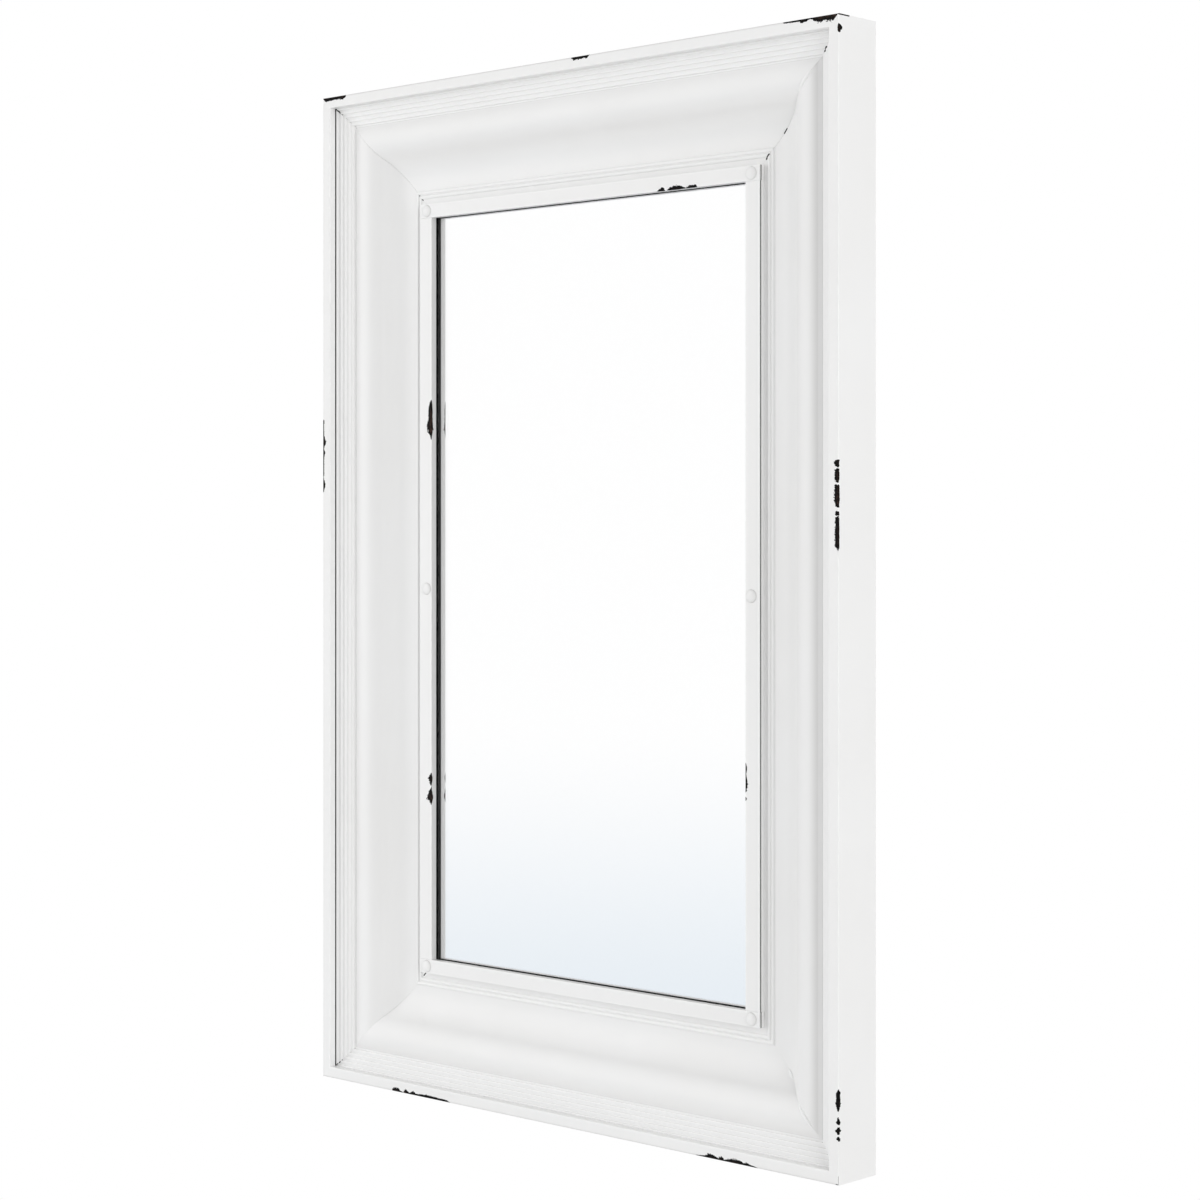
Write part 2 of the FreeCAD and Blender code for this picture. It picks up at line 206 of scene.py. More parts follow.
def carriedSheet(name, node, side, section, cover, half, mitre, stations, material,
                 hiddenCover=-1.0, endGaps=(0.0, 0.0)):
    # a closed section, shown line then hidden line back, carried along one side between its two end cuts
    # a cut stands off the middle by the half length less mitre times the margin: 1 is mitred and 0 is square
    # the shown line stops short of each cut by that end's gap, so that two lengths meet in a fine groove
    shown, hidden, lightTone = section
    loop = np.vstack([shown, hidden[::-1]])
    share = np.linspace(-1, 1, stations)[:, None]
    margin, depth = loop[:, 0] + 0 * share, loop[:, 1] + 0 * share
    gap = np.where(share < 0, *endGaps) * (np.arange(len(loop)) < len(shown))
    points = placed(side, margin, depth, share * (half - mitre * margin - gap))
    count, last = len(loop), (stations - 1) * len(loop)
    edge = np.arange(len(shown) - 1)
    cap = np.column_stack([edge, count - 1 - edge, count - 2 - edge, edge + 1])
    quads = np.vstack([gridQuads(stations, count), cap, cap[:, ::-1] + last])
    piece = makePiece(name, points.reshape(-1, 3), quads, material, [node])
    painted = np.concatenate([cover, np.full(len(hidden), hiddenCover)])
    addValues(piece, "paintCover", np.broadcast_to(painted, (stations, count)))
    # painted highlight and shade along the shown line, none on the hidden line
    addValues(piece, "paintedLight", np.broadcast_to(np.concatenate([lightTone, 0 * lightTone]), (stations, count)))


# Node helpers

def addNode(tree, kind, values=None, **settings):
    node = tree.nodes.new("ShaderNode" + kind)
    for key, value in settings.items():
        setattr(node, key, value)
    for key, value in (values or {}).items():
        if isinstance(value, bpy.types.NodeSocket):
            tree.links.new(value, node.inputs[key])
        else:
            node.inputs[key].default_value = value
    return node


def newMaterial(name):
    material = bpy.data.materials.new(name)
    material.use_nodes = True
    tree = material.node_tree
    tree.nodes.clear()
    shader = addNode(tree, "BsdfPrincipled")
    addNode(tree, "OutputMaterial", {"Surface": shader.outputs[0]})
    return material, tree, shader


def objectPoint(tree):
    return addNode(tree, "TexCoord").outputs["Object"]


def noise(tree, point, scale, detail=2.0):
    return addNode(tree, "TexNoise", {"Vector": point, "Scale": scale, "Detail": detail}).outputs["Fac"]


def ranged(tree, value, low, high, newLow, newHigh, smooth=False):
    kind = "SMOOTHSTEP" if smooth else "LINEAR"
    return addNode(tree, "MapRange", {0: value, 1: low, 2: high, 3: newLow, 4: newHigh},
                   interpolation_type=kind).outputs[0]


def mixedColor(tree, factor, first, second):
    return addNode(tree, "Mix", {0: factor, 6: first, 7: second}, data_type="RGBA").outputs[2]


def math2(tree, operation, first, second):
    return addNode(tree, "Math", {0: first, 1: second}, operation=operation).outputs[0]


def dot(tree, point, way):
    return addNode(tree, "VectorMath", {0: point, 1: way}, operation="DOT_PRODUCT").outputs["Value"]


def addBump(tree, shader, height, distance):
    bump = addNode(tree, "Bump", {"Height": height, "Distance": distance})
    tree.links.new(bump.outputs[0], shader.inputs["Normal"])


# White paint, chipped off the arrises down to a black undercoat and brown metal

paint = dict(
    white=(0.86, 0.86, 0.857, 1), warm=(0.845, 0.843, 0.837, 1), warmScale=7.0, warmSpread=0.15,
    # painted highlight and painted shade colours, mixed in where a point's painted light passes the
    # threshold
    bright=(0.915, 0.915, 0.912, 1), paintedShade=(0.66, 0.655, 0.645, 1), paintedLightFrom=0.05,
    undercoat=(0.003, 0.003, 0.003, 1), back=(0.022, 0.022, 0.023, 1),
    paintedFrom=0.65, bareFrom=0.35, undercoatTo=-0.3, backFrom=-0.7,
    rust=(0.05, 0.027, 0.02, 1), rustScale=420.0, rustSpread=0.15, rustFrom=1.8, rustTo=4.0,
    roughness=0.33, smoother=0.03, rougher=0.05, roughScale=40.0, roughSpread=0.2, specular=0.9,
    bareRoughness=0.6, bareSpecular=0.1,
    peelScale=700, peelBump=0.000006, waveScale=9, waveBump=0.0005, chipBump=0.00015,
    ragScale=420, ragSpread=0.2, ragAlong=1.0, ragLeast=0.75, ragMost=1.3, chipEdge=0.1, arrisLoss=0.6)

# Chips of each piece, in millimetres: lean is what a millimetre in from the arris counts for on the face
# and on the wall, and line is the chip's width at places along the arris, with straight lines between
chips = {
    "rim_top": [
        dict(lean=(1, 1), line=[(-306, 3), (-284, 2.4), (-276, 3.5), (-273, 1.5), (-272, 0)]),
        dict(lean=(1, 1), line=[(16, 0), (19, 2.8), (21, 2), (28, 2.3), (32, 1.5), (35, 2.5), (38, 0)]),
        dict(lean=(1, 1), line=[(249, 0), (250, 0.8), (266, 1.2), (269, 3), (275, 1.2), (277, 0.6),
                                (282, 2.8), (286, 4.3), (292, 3.4), (301, 5), (304, 2.3), (306, 1.5)])],
    "rim_right": [
        dict(lean=(4, 1), line=[(442, 0), (444, 3.6), (447, 3.6), (450, 0)]),
        dict(lean=(1, 3), line=[(37, 0), (41, 2.8), (54, 3), (64, 2.4), (64.5, 0)]),
        dict(lean=(1, 3), line=[(65, 0), (65.5, 2.8), (68.5, 2.7), (69, 0)]),
        dict(lean=(1, 3), line=[(71.5, 0), (72, 2.4), (79, 4), (89, 3), (90, 0)]),
        dict(lean=(1, 3), line=[(90.5, 0), (93, 3.3), (101, 3), (102, 0), (103, 0), (104, 2.4), (108, 3.6),
                                (109, 0)]),
        dict(lean=(1, 1), line=[(-422, 0), (-421, 2.2), (-419, 0), (-418, 0), (-414.5, 3), (-411.5, 0),
                                (-410, 0), (-408, 2), (-404, 0)]),
        dict(lean=(1, 1), line=[(-399, 0), (-394, 2.4), (-389, 1.6), (-385, 2), (-382, 0)])],
    "rim_left": [
        dict(lean=(1, 2), line=[(88, 0), (89, 1), (96, 3.4), (103, 0.6), (106, 1.4), (121, 1.4), (126, 2.8),
                                (129, 1.1), (136, 4.2), (141, 1.7), (152, 1.2), (156, 2), (157, 0)])],
    "rim_bottom": [
        dict(lean=(1, 1), line=[(-210, 0), (-207, 2.7), (-202, 3.2), (-195, 0), (-194, 0), (-191.5, 4),
                                (-186, 0.7), (-181, 3), (-177, 1.2), (-164, 2.3), (-152, 1.8), (-138, 1.4),
                                (-133, 0)]),
        dict(lean=(1, 1), line=[(157, 0), (168, 1.2), (172, 3.4), (177, 2.7), (181, 1.2), (184.5, 3.4),
                                (188, 0.7), (197, 3.1), (205, 3), (209, 1), (211, 2.2), (215, 1.2),
                                (224, 0)])],
    "trim_top": [
        dict(lean=(1, 2), line=[(90, 0), (93, 1.3), (96.5, 2.5), (99.5, 0)]),
        dict(lean=(1, 2), line=[(101, 0), (108, 2.7), (114, 2.6), (122, 0), (123, 0), (124, 1.4), (133, 1.8),
                                (134.5, 0)])],
    "trim_left": [
        dict(lean=(1, 3), line=[(136.5, 0), (141, 2), (146, 6), (154, 3.7), (164, 3.2), (169, 2.1),
                                (171.5, 0)]),
        dict(lean=(1, 3), line=[(-197, 0), (-190.5, 5.8), (-181, 0), (-180, 0), (-173, 4), (-167.5, 0)])],
    "trim_right": [
        dict(lean=(1, 2), line=[(-167.5, 0), (-166, 1.1), (-164, 0), (-161, 0), (-154, 2.4), (-146, 0.6),
                                (-139, 1.3), (-136.5, 0)])],
}

# Dark slivers where a mitre hasn't closed: the corner, its first and last margin, and the half width
slivers = [("left", "top", 10.5, 15.5, 0.7), ("left", "top", 96, 100.5, 0.6), ("right", "top", 22, 27, 0.8),
           ("right", "top", 78.5, 82, 0.6), ("right", "top", 97.5, 101, 0.8),
           ("left", "bottom", 11, 15.5, 0.6), ("left", "bottom", 101.5, 104, 0.6)]

# Thin worn lines of the rim: two ends and the half width
scratches = {
    "rim_right": [((halfWidth, frontY, halfHeight), (halfWidth, frontY + 13, halfHeight), 1.1),
                  ((halfWidth, frontY, -halfHeight), (halfWidth, frontY, 7 - halfHeight), 0.5)],
    "rim_bottom": [((halfWidth, frontY, -halfHeight), (halfWidth - 2, frontY, -halfHeight), 1.0)],
}


def blotches(tree, point, scale, detail, spread, low, high):
    # noise whose middle, as wide as the spread on either side of a half, is stretched from low to high
    return ranged(tree, noise(tree, point, scale, detail), 0.5 - spread, 0.5 + spread, low, high)


def chipWidth(tree, point, along, line):
    # the chip's width at a place along the arris, with both the place and the width made uneven by noise
    places, widths = np.array(sorted(line)).T
    shift, spread = paint["ragAlong"] * mm, paint["ragSpread"]
    rag = blotches(tree, point, paint["ragScale"], 2.0, spread, -shift, shift)
    place = ranged(tree, math2(tree, "ADD", along, rag), places[0] * mm, places[-1] * mm, 0.0, 1.0)
    curve = addNode(tree, "FloatCurve", {"Value": place})
    knots = curve.mapping.curves[0].points
    for share, width in zip((places - places[0]) / np.ptp(places), widths / widths.max()):
        knot = knots[0] if share == 0 else knots[-1] if share == 1 else knots.new(share, width)
        knot.location = (share, width)
        knot.handle_type = "VECTOR"
    curve.mapping.update()
    uneven = blotches(tree, point, 2 * paint["ragScale"], 2.0, spread, paint["ragLeast"], paint["ragMost"])
    return math2(tree, "MULTIPLY", math2(tree, "MULTIPLY", curve.outputs[0], widths.max() * mm), uneven)


def chipInside(tree, point, piece, chip):
    # how far inside the chip a point lies: the chip's width there less the leaning distance from the arris
    kind, side = piece.split("_")
    outX, outZ = sides[side]["out"]
    inset, depth = (0, 0) if kind == "rim" else (sightMargin, trimDepth)
    face = math2(tree, "SUBTRACT", dot(tree, point, (outX, 0, outZ)), (sides[side]["reach"] - inset) * mm)
    wall = math2(tree, "SUBTRACT", dot(tree, point, (0, 1, 0)), (frontY + depth) * mm)
    face = math2(tree, "MULTIPLY", math2(tree, "ABSOLUTE", face, 0.0), chip["lean"][0])
    wall = math2(tree, "MULTIPLY", math2(tree, "ABSOLUTE", wall, 0.0), chip["lean"][1])
    width = chipWidth(tree, point, dot(tree, point, (abs(outZ), 0, abs(outX))), chip["line"])
    away = math2(tree, "SUBTRACT", math2(tree, "ADD", face, wall), paint["arrisLoss"] * mm)
    return math2(tree, "SUBTRACT", width, math2(tree, "MAXIMUM", away, 0.0))


def sliverRod(sliver, depthAt):
    # a rod along the mitre, from the moulding's face at the first margin to its face at the last
    across, upright, first, last, half = sliver
    ends = [(sides[across]["out"][0] * (halfWidth - margin), frontY + depthAt(margin),
             sides[upright]["out"][1] * (halfHeight - margin)) for margin in (first, last)]
    return ends[0], ends[1], half


def rodInside(tree, point, rod):
    # how far inside a thin rod a point lies: its half width less the distance from its middle line
    start, end, half = np.array(rod[0]) * mm, np.array(rod[1]) * mm, rod[2]
    length = np.linalg.norm(end - start)
    way = (end - start) / length
    offset = addNode(tree, "VectorMath", {0: point, 1: start}, operation="SUBTRACT").outputs[0]
    along = ranged(tree, dot(tree, offset, way), 0.0, length, 0.0, length)
    nearest = addNode(tree, "VectorMath", {0: way, "Scale": along}, operation="SCALE").outputs[0]
    away = addNode(tree, "VectorMath", {0: offset, 1: nearest}, operation="DISTANCE").outputs["Value"]
    return math2(tree, "SUBTRACT", half * mm, away)


def whitePaint(piece, depthAt=None):
    # the attribute paintCover is 1 on paint, 0 on bare undercoat and -1 on the sheet's black back;
    # the painted light attribute paints a highlight above 0 and shade below it
    material, tree, shader = newMaterial("white_paint_" + piece)
    point = objectPoint(tree)
    cover = addNode(tree, "Attribute", attribute_name="paintCover").outputs["Fac"]
    lightTone = addNode(tree, "Attribute", attribute_name="paintedLight").outputs["Fac"]
    warmth = blotches(tree, point, paint["warmScale"], 3.0, paint["warmSpread"], 0.0, 1.0)
    white = mixedColor(tree, warmth, paint["white"], paint["warm"])
    # painted highlight where the painted light is above its threshold, painted shade where it is below minus
    # it
    white = mixedColor(tree, ranged(tree, lightTone, paint["paintedLightFrom"], 1.0, 0.0, 1.0), white, paint["bright"])
    white = mixedColor(tree, ranged(tree, lightTone, -paint["paintedLightFrom"], -1.0, 0.0, 1.0), white, paint["paintedShade"])
    bare = ranged(tree, cover, paint["bareFrom"], paint["paintedFrom"], 1.0, 0.0)
    behind = ranged(tree, cover, paint["undercoatTo"], paint["backFrom"], 0.0, 1.0)
    metal = mixedColor(tree, behind, paint["undercoat"], paint["back"])
    rods = scratches.get(piece, [])
    if depthAt:
        rods = [sliverRod(sliver, depthAt) for sliver in slivers if piece.split("_")[1] in sliver]
    inside = [chipInside(tree, point, piece, chip) for chip in chips.get(piece, [])]
    for deep in inside + [rodInside(tree, point, rod) for rod in rods]:
        bare = math2(tree, "MAXIMUM", bare, ranged(tree, deep, 0.0, paint["chipEdge"] * mm, 0.0, 1.0, True))
        worn = ranged(tree, deep, paint["rustFrom"] * mm, paint["rustTo"] * mm, 0.0, 1.0)
        patchy = blotches(tree, point, paint["rustScale"], 3.0, paint["rustSpread"], 0.0, 1.0)
        metal = mixedColor(tree, math2(tree, "MULTIPLY", worn, patchy), metal, paint["rust"])
    tree.links.new(mixedColor(tree, bare, white, metal), shader.inputs["Base Color"])
    rough = blotches(tree, point, paint["roughScale"], 3.0, paint["roughSpread"],
                     paint["roughness"] - paint["smoother"], paint["roughness"] + paint["rougher"])
    tree.links.new(ranged(tree, bare, 0.0, 1.0, rough, paint["bareRoughness"]), shader.inputs["Roughness"])
    shine = ranged(tree, bare, 0.0, 1.0, paint["specular"], paint["bareSpecular"])
    tree.links.new(shine, shader.inputs["Specular IOR Level"])
    wave = addNode(tree, "Bump", {"Height": noise(tree, point, paint["waveScale"], 1.0),
                                  "Distance": paint["waveBump"]})
    peel = addNode(tree, "Bump", {"Height": noise(tree, point, paint["peelScale"]),
                                  "Distance": paint["peelBump"], "Normal": wave.outputs[0]})
    edge = addNode(tree, "Bump", {"Height": bare, "Distance": paint["chipBump"], "Normal": peel.outputs[0]},
                   invert=True)
    tree.links.new(edge.outputs[0], shader.inputs["Normal"])
    return material


# Outer rim: lip, face, wall and back return

rim = dict(
    face=10.0, lip=dict(top=7.5, bottom=7.5, left=6.5, right=7.2), backReturn=25.0, sheet=1.2, soft=0.75,
    # painted shade on the outer arris at the top and bottom, a faint painted highlight on the left
    outerArrisLight=dict(top=-1.0, bottom=-1.0, left=0.3, right=0.0), stations=41)


def rimSection(side):
    # straight runs from the lip's edge round to the return's edge, with painted light of its own on the
    # outer arris:
    # shade at the top and bottom, a faint highlight on the left
    face, lip = rim["face"], rim["lip"][side]
    corners = [(face, lip), (face, 0), (0, 0), (0, frameDepth), (rim["backReturn"], frameDepth)]
    shown, hidden, lightTone = sheetSection(corners, rim["sheet"], (rim["soft"], rim["soft"]), -1)
    outer = (shown[:, 0] < face / 2) & (shown[:, 1] < frameDepth / 2)
    return shown, hidden, np.where(outer, rim["outerArrisLight"][side] * lightTone, lightTone)


def makeRim(side):
    name = "rim_" + side
    section = rimSection(side)
    cover = np.ones(len(section[0]))
    carriedSheet("rim_sheet_" + side, name, side, section, cover, sides[side]["half"], 1, rim["stations"],
                 whitePaint(name))


for side in sides:
    makeRim(side)
print("rim made")


# Pressed moulding: outer leg, steps, quirk, ogee, double bead and landing

moulding = dict(
    legMargin=1.2, legDepth=12.0, firstArris=11.6, stepCount=5, stepRun=3.8, stepDrop=1.7,
    quirkDrop=2.2, quirkRun=1.6, quirkWallRun=0.5,
    crownLead=12.0, crownRise=0.8, crownRadius=26.0, exitDegrees=6.0,
    beadToTrim=7.6, beadPitch=4.0, beadHalf=1.8, beadRise=1.3, beadFlat=0.4, beadSteps=20, sheet=0.6,
    stepSoft=dict(top=0.5, bottom=0.5, left=0.85, right=0.5), beadSoft=0.3, stations=61,
    # painted highlight on the risers near each arris, painted shade low on the quirk's far wall
    riserHighlight=0.5, riserReach=0.5, quirkShade=1.6,
    paintFrom=dict(top=9.5, bottom=9.5, left=10.1, right=9.5), paintFade=0.3, bareEdge=0.2, bareFade=0.1,
    mitreGaps=dict(top=(0.1, 0.1), right=(0.1, 0.0), bottom=(0.0, 0.06), left=(0.06, 0.1)))

# Painted light and shade along one side: margin and amount; on the right, painted highlight on the treads
# and at the crown's outer foot, painted shade on its outer slope
mouldingPaintedLight = {
    "right": [(14, 0), (15, 0.8), (26, 0.8), (27, 0), (29, 0), (29.5, 0.8), (31, 0.8), (32.5, -0.45),
              (34, -0.45), (42, 0)],
}


def stepCorners():
    # the leg, then a level tread and a drop for each step, the last drop into the quirk's floor
    leg = moulding["legMargin"]
    corners = [(leg, treadDepth + moulding["legDepth"]), (leg, treadDepth)]
    drops = [moulding["stepDrop"]] * (moulding["stepCount"] - 1) + [moulding["quirkDrop"]]
    for step, drop in enumerate(drops):
        arris = moulding["firstArris"] + step * moulding["stepRun"]
        depth = treadDepth + step * moulding["stepDrop"]
        corners += [(arris, depth), (arris, depth + drop)]
    arris, depth = corners[-1]
    return corners + [(arris + moulding["quirkRun"], depth)]


def firstBead():
    return trimMargin - moulding["beadToTrim"] - moulding["beadPitch"]


def ogeeCorners(quirk):
    # two arcs that meet smoothly: the crown, level at its top, and the hollow, which rises at the exit slope
    radius, slope = moulding["crownRadius"], -math.radians(moulding["exitDegrees"])
    lead = math.asin(moulding["crownLead"] / radius)
    crownDepth = quirk[1] - moulding["quirkDrop"] - moulding["crownRise"]
    centre = np.array([quirk[0] + moulding["quirkWallRun"] + moulding["crownLead"], crownDepth + radius])
    end = np.array([firstBead() - moulding["beadHalf"] - moulding["beadFlat"], landingDepth])
    towards = np.array([math.sin(slope), -math.cos(slope)])
    offset = centre - end
    hollowRadius = (offset @ offset - radius ** 2) / (2 * (radius + offset @ towards))
    hollow = end + towards * hollowRadius
    turn = math.degrees(math.atan2(hollow[1] - centre[1], hollow[0] - centre[0]))
    crownArc = arcPoints(centre, radius, -90 - math.degrees(lead), turn)
    hollowArc = arcPoints(hollow, hollowRadius, turn + 180, 90 - moulding["exitDegrees"])
    return np.vstack([crownArc, hollowArc[1:]])


def beadCorners():
    # two arcs side by side, each as high and as wide as a bead, then the landing to the sight edge
    half, rise = moulding["beadHalf"], moulding["beadRise"]
    radius = (half ** 2 + rise ** 2) / (2 * rise)
    spread = math.degrees(math.asin(half / radius))
    beads = [arcPoints((firstBead() + k * moulding["beadPitch"], landingDepth - rise + radius), radius,
                       -90 - spread, -90 + spread, moulding["beadSteps"]) for k in range(2)]
    return np.vstack(beads + [[(sightMargin, landingDepth)]])


def stepPaintedLight(shown, lightTone, quirk):
    # painted highlight on the risers and in the quirk's floor, painted shade on the quirk's far wall
    margin, depth = shown.T
    run, floorHalf = moulding["stepRun"], moulding["quirkRun"] / 2
    toArris = np.abs((margin - moulding["firstArris"] + run / 2) % run - run / 2)
    onSteps = (margin > rim["face"]) & (margin < quirk[0] - floorHalf)
    overFloor = np.abs(margin - quirk[0] + floorHalf) < floorHalf
    overWall = (margin > quirk[0]) & (margin < quirk[0] + moulding["quirkWallRun"])
    riser = onSteps & (toArris < moulding["riserReach"])
    floor = overFloor & (depth > quirk[1] - moulding["stepDrop"])
    wall = overWall & (depth > quirk[1] - moulding["quirkShade"])
    lightTone = np.where(riser | floor, np.maximum(lightTone, moulding["riserHighlight"]), lightTone)
    return np.where(wall, -1.0, lightTone)


def mouldingSection(side):
    # steps, ogee and beads as one softened line, with the painted highlight and shade of the steps and of
    # one side
    steps = stepCorners()
    corners = np.vstack([steps, ogeeCorners(steps[-1]), beadCorners()])
    softs = moulding["stepSoft"][side], moulding["beadSoft"]
    shown, hidden, lightTone = sheetSection(corners, moulding["sheet"], softs, 1)
    margins, shades = np.array(mouldingPaintedLight.get(side, [(0, 0)])).T
    shade = np.interp(shown[:, 0], margins, shades)
    return shown, hidden, np.clip(stepPaintedLight(shown, lightTone, steps[-1]) + shade, -1, 1)


def mouldingDepth(margin):
    # depth of the shown face at a margin, past the leg
    shown = mouldingSection("top")[0]
    shown = shown[np.argmax(shown[:, 0] > moulding["legMargin"] + 1):]
    return np.interp(margin, np.maximum.accumulate(shown[:, 0]), shown[:, 1])


def mouldingCover(side, margin):
    # painted where the rim's lip doesn't hide it, and bare at the edge that looks onto the glass
    outer = np.clip((margin - moulding["paintFrom"][side]) / moulding["paintFade"], 0, 1)
    inner = np.clip((sightMargin - moulding["bareEdge"] - margin) / moulding["bareFade"], 0, 1)
    return outer * inner


def makeMoulding(side):
    name = "moulding_" + side
    section = mouldingSection(side)
    cover = mouldingCover(side, section[0][:, 0])
    carriedSheet("moulding_sheet_" + side, name, side, section, cover, sides[side]["half"], 1,
                 moulding["stations"], whitePaint(name, mouldingDepth), endGaps=moulding["mitreGaps"][side])


# Raised weld lines that show through the paint at two mitres: the corner, and the first and last margin
welds = dict(places=[("right", "top", 38, 53), ("right", "bottom", 37, 54), ("right", "bottom", 69, 76)],
             half=1.6, sink=0.3, backShare=0.12, steps=24, around=12, endShare=0.01)


def makeWelds():
    # a rod that tapers to both ends, bedded along the mitre: it follows the sheets on both sides
    # and is nearly flat behind
    steps, around = welds["steps"], welds["around"]
    share = np.linspace(welds["endShare"], 1 - welds["endShare"], steps)
    angle = np.linspace(0, 2 * math.pi, around, endpoint=False)
    bulge = np.maximum(np.sin(angle), 0) * welds["backShare"] + np.minimum(np.sin(angle), 0)
    reach = welds["half"] * np.sqrt(np.sin(math.pi * share))[:, None]
    offset = reach * np.cos(angle) / math.sqrt(2)
    rods = []
    for across, upright, first, last in welds["places"]:
        margin = (first + (last - first) * share)[:, None]
        depth = mouldingDepth(margin - np.abs(offset)) + welds["sink"] + reach * bulge
        x = sides[across]["out"][0] * (halfWidth - margin + offset)
        z = sides[upright]["out"][1] * (halfHeight - margin - offset)
        rods.append(np.stack([x, frontY + depth, z], axis=-1))
    points = np.concatenate(rods).reshape(-1, 3) * mm
    quads = repeatedQuads(tubeQuads(steps, around), steps * around, len(rods))
    piece = makePiece("mitre_welds", points, quads, whitePaint("welds"), ["moulding_right"])
    addValues(piece, "paintCover", np.ones(len(points)))
    # painted highlight along the welds
    addValues(piece, "paintedLight", np.ones(len(points)))


for side in sides:
    makeMoulding(side)
makeWelds()
print("moulding made")


# Inner trim: a folded strip. The top and bottom strips run the full width, the others stand between them

trim = dict(soft=0.35, joint=0.1, stations=41, wider=2.2, hem=1.5, groove=1.3, grooveSink=0.7, innerLift=0.5)
trimEnds = trimMargin - trim["wider"]
grooveDepth = trimDepth + trim["hem"] + trim["groove"] / 2

# The bare groove under the hems runs on across the ends of the top and bottom strips
for side in ("top", "bottom"):
    outerZ, innerZ = (sides[side]["out"][1] * (halfHeight - margin) for margin in (trimMargin, sightMargin))
    scratches["trim_" + side] = [
        ((x, frontY + grooveDepth, outerZ), (x, frontY + grooveDepth, innerZ), trim["groove"] / 2)
        for x in (trimEnds - halfWidth, halfWidth - trimEnds)]


def trimSection(side):
    # a side strip's face is hemmed over its outer leg, with a bare groove under the hem;
    # a straight line closes each section below
    full = side in ("top", "bottom")
    outer = trimMargin if full else trimEnds
    inside, under = outer + trim["grooveSink"], trimDepth + trim["hem"]
    below = under + trim["groove"]
    hem = [(outer, below), (inside, below), (inside, under), (outer, under)]
    corners = [(outer, landingDepth)] + ([] if full else hem)
    inner = landingDepth - trim["innerLift"]
    corners += [(outer, trimDepth), (sightMargin, trimDepth), (sightMargin, inner)]
    shown = softened(evenPath(np.array(corners, float)), trim["soft"])
    share = np.linspace(0, 1, len(shown))[:, None]
    return thinned(shown, shown[:1] * (1 - share) + shown[-1:] * share, 1)


def trimCover(side, shown):
    # bare in the groove of a side strip, painted elsewhere
    inGroove = (np.abs(shown[:, 1] - grooveDepth) < trim["groove"] / 2) & (shown[:, 0] < trimMargin)
    return np.where(inGroove & (side in ("left", "right")), 0.0, 1.0)


def makeTrim(side):
    name = "trim_" + side
    section = trimSection(side)
    cover = trimCover(side, section[0])
    half = sides[side]["half"] - (trimEnds if side in ("top", "bottom") else sightMargin + trim["joint"])
    carriedSheet("trim_strip_" + side, name, side, section, cover, half, 0, trim["stations"],
                 whitePaint(name), hiddenCover=1.0)


for side in sides:
    makeTrim(side)
print("trim made")


# Domed rivets in the trim

rivet = dict(
    head=11.2, rise=1.5, edge=0.8, edgePower=14, rings=24, around=40, firstShare=0.02, backMiddle=0.05,
    footShare=0.85)


def makeRivets():
    # a flat arc turned about its own axis, raised by a steep edge and closed flat behind, at six places
    radius = (rivet["head"] ** 2 / 4 + rivet["rise"] ** 2) / (2 * rivet["rise"])
    share = np.linspace(rivet["firstShare"], 1, rivet["rings"])
    reach = share * rivet["head"] / 2
    rise = np.sqrt(radius ** 2 - reach ** 2) - (radius - rivet["rise"])
    reach = np.concatenate([reach, reach[-1:], [rivet["backMiddle"]]])
    rise = np.concatenate([rise + rivet["edge"] * (1 - share ** rivet["edgePower"]), [0.0, 0.0]])
    angle = np.linspace(0, 2 * math.pi, rivet["around"], endpoint=False)
    x, z = reach[:, None] * np.cos(angle), reach[:, None] * np.sin(angle)
    y = frontY + trimDepth - rise[:, None] + 0 * angle
    dome = np.stack([x, y, z], axis=-1).reshape(-1, 3)
    across = halfWidth - (trimMargin + sightMargin) / 2
    up = halfHeight - (trimMargin + sightMargin) / 2
    places = np.array([(signX * across, 0, signZ * up) for signX in (-1, 1) for signZ in (-1, 0, 1)])
    points = (places[:, None] + dome[None]).reshape(-1, 3) * mm
    quads = repeatedQuads(tubeQuads(len(reach), rivet["around"]), len(dome), len(places))
    material = whitePaint("rivets")
    piece = makePiece("trim_rivet_heads", points, quads, material, ["trim_rivets"])
    addValues(piece, "paintCover", np.ones(len(points)))
    # painted shade (held in dust), darkest round the foot of each head
    foot = np.clip((share - rivet["footShare"]) / (1 - rivet["footShare"]), 0, 1)
    dust = np.concatenate([-foot, [-1.0, 0.0]])
    addValues(piece, "paintedLight", np.tile(np.repeat(dust, rivet["around"]), len(places)))


makeRivets()
print("rivets made")


# Mirror glass: a clear plate with its silver just inside its back

glass = dict(arris=0.5, ior=1.52, silver=0.06, silverInside=0.08, silverInset=1.0, cloudScale=5.0,
             silverBright=(1.0, 1.0, 1.0, 1), silverDull=(0.994, 0.996, 0.998, 1))


def makePlate(name, insets, depths, material):
    # rectangular rings, each with its own inset and depth, with the first and last ring closed by one quad
    high = np.array(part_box("mirror_glass")[1]) / mm
    signs = np.array([(-1, -1), (1, -1), (1, 1), (-1, 1)])
    inset = np.array(insets)[:, None]
    x = signs[:, 0] * (high[0] - inset)
    z = signs[:, 1] * (high[2] - inset)
    y = np.array(depths)[:, None] + 0 * x
    points = np.stack([x, y, z], axis=-1).reshape(-1, 3) * mm
    return makePiece(name, points, tubeQuads(len(insets), 4), material, ["mirror_glass"])


def clearGlass():
    material, _, shader = newMaterial("clear_glass")
    shader.inputs["Base Color"].default_value = (1.0, 1.0, 1.0, 1)
    shader.inputs["Roughness"].default_value = 0.0
    shader.inputs["IOR"].default_value = glass["ior"]
    shader.inputs["Transmission Weight"].default_value = 1.0
    return material


